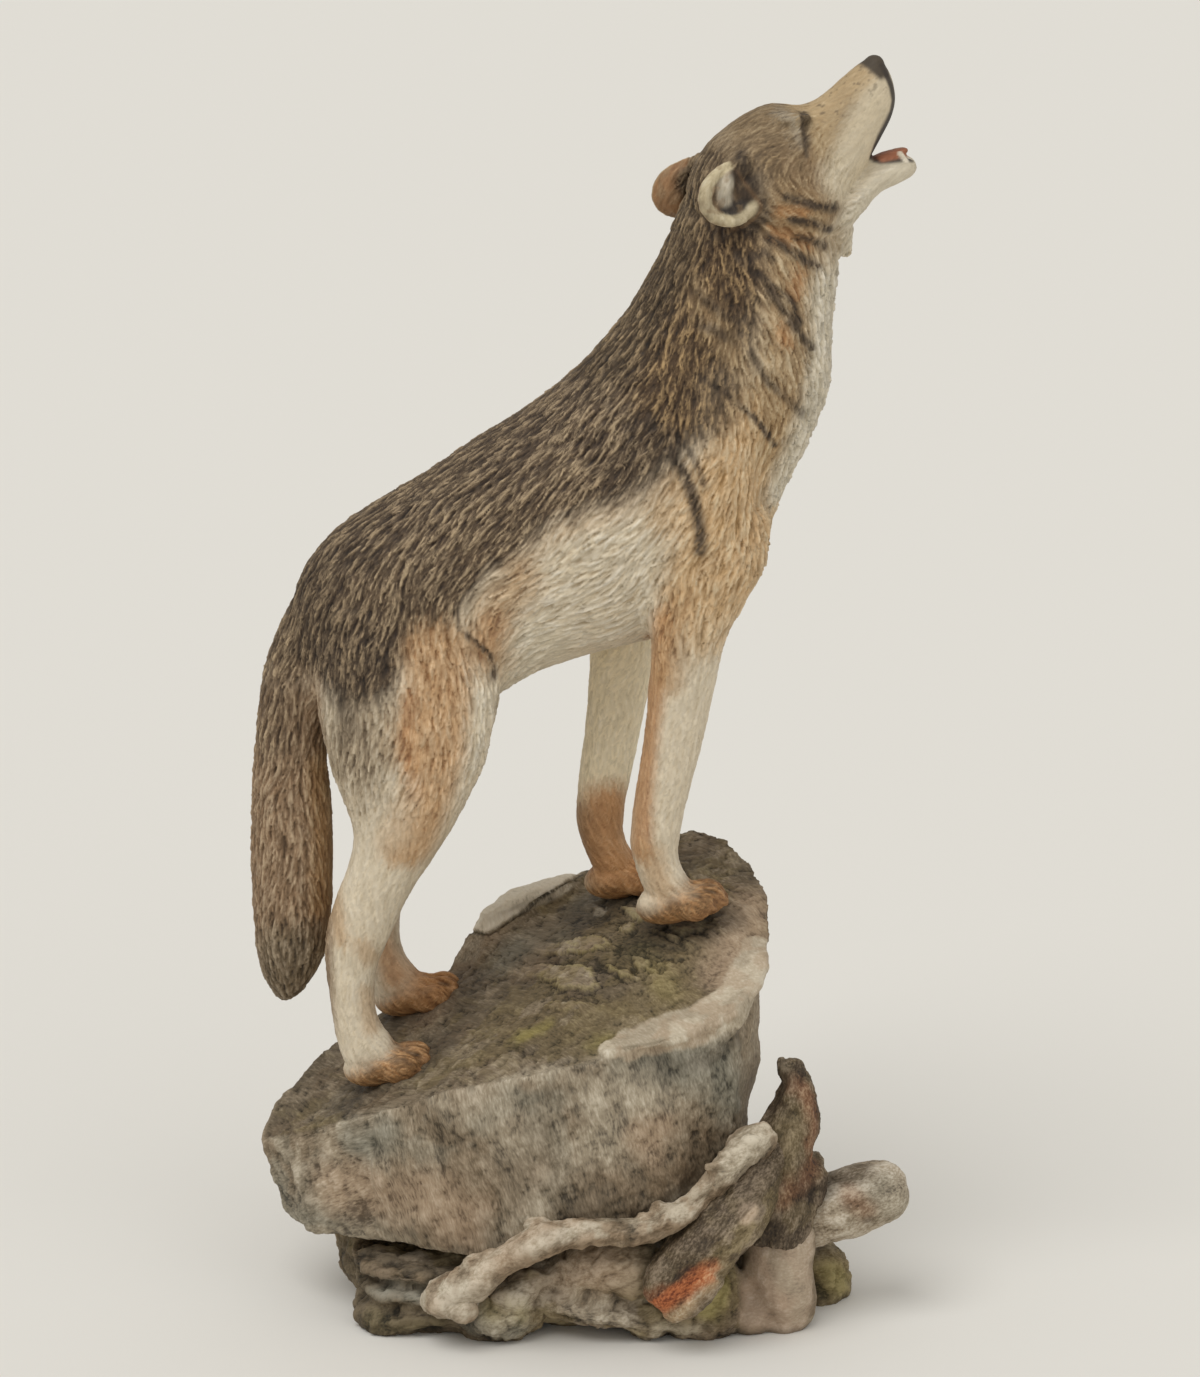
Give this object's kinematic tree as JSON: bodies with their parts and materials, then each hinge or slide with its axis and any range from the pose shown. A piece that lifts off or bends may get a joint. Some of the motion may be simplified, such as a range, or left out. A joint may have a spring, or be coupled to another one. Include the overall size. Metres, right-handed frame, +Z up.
{
  "type": "wolf figurine",
  "caption": "Shelf figurine of a howling wolf on a tilted boulder with driftwood at its foot, cast in resin and painted by hand, standing on a flat underside.",
  "frame": {"origin": "on the flat underside, under the middle of the boulder's footprint", "axes": "+X towards the wolf's chest and nose, +Y towards the wolf's left side, +Z up"},
  "size_m": [0.1551, 0.0842, 0.2932],
  "materials": {
    "painted_resin": "matt hand-painted, darker in the cut hairs and cracks, dry-brushed pale on the ridges"
  },
  "bodies": {
    "root": {"wolf_figurine": "painted_resin"}
  },
  "joints": []
}
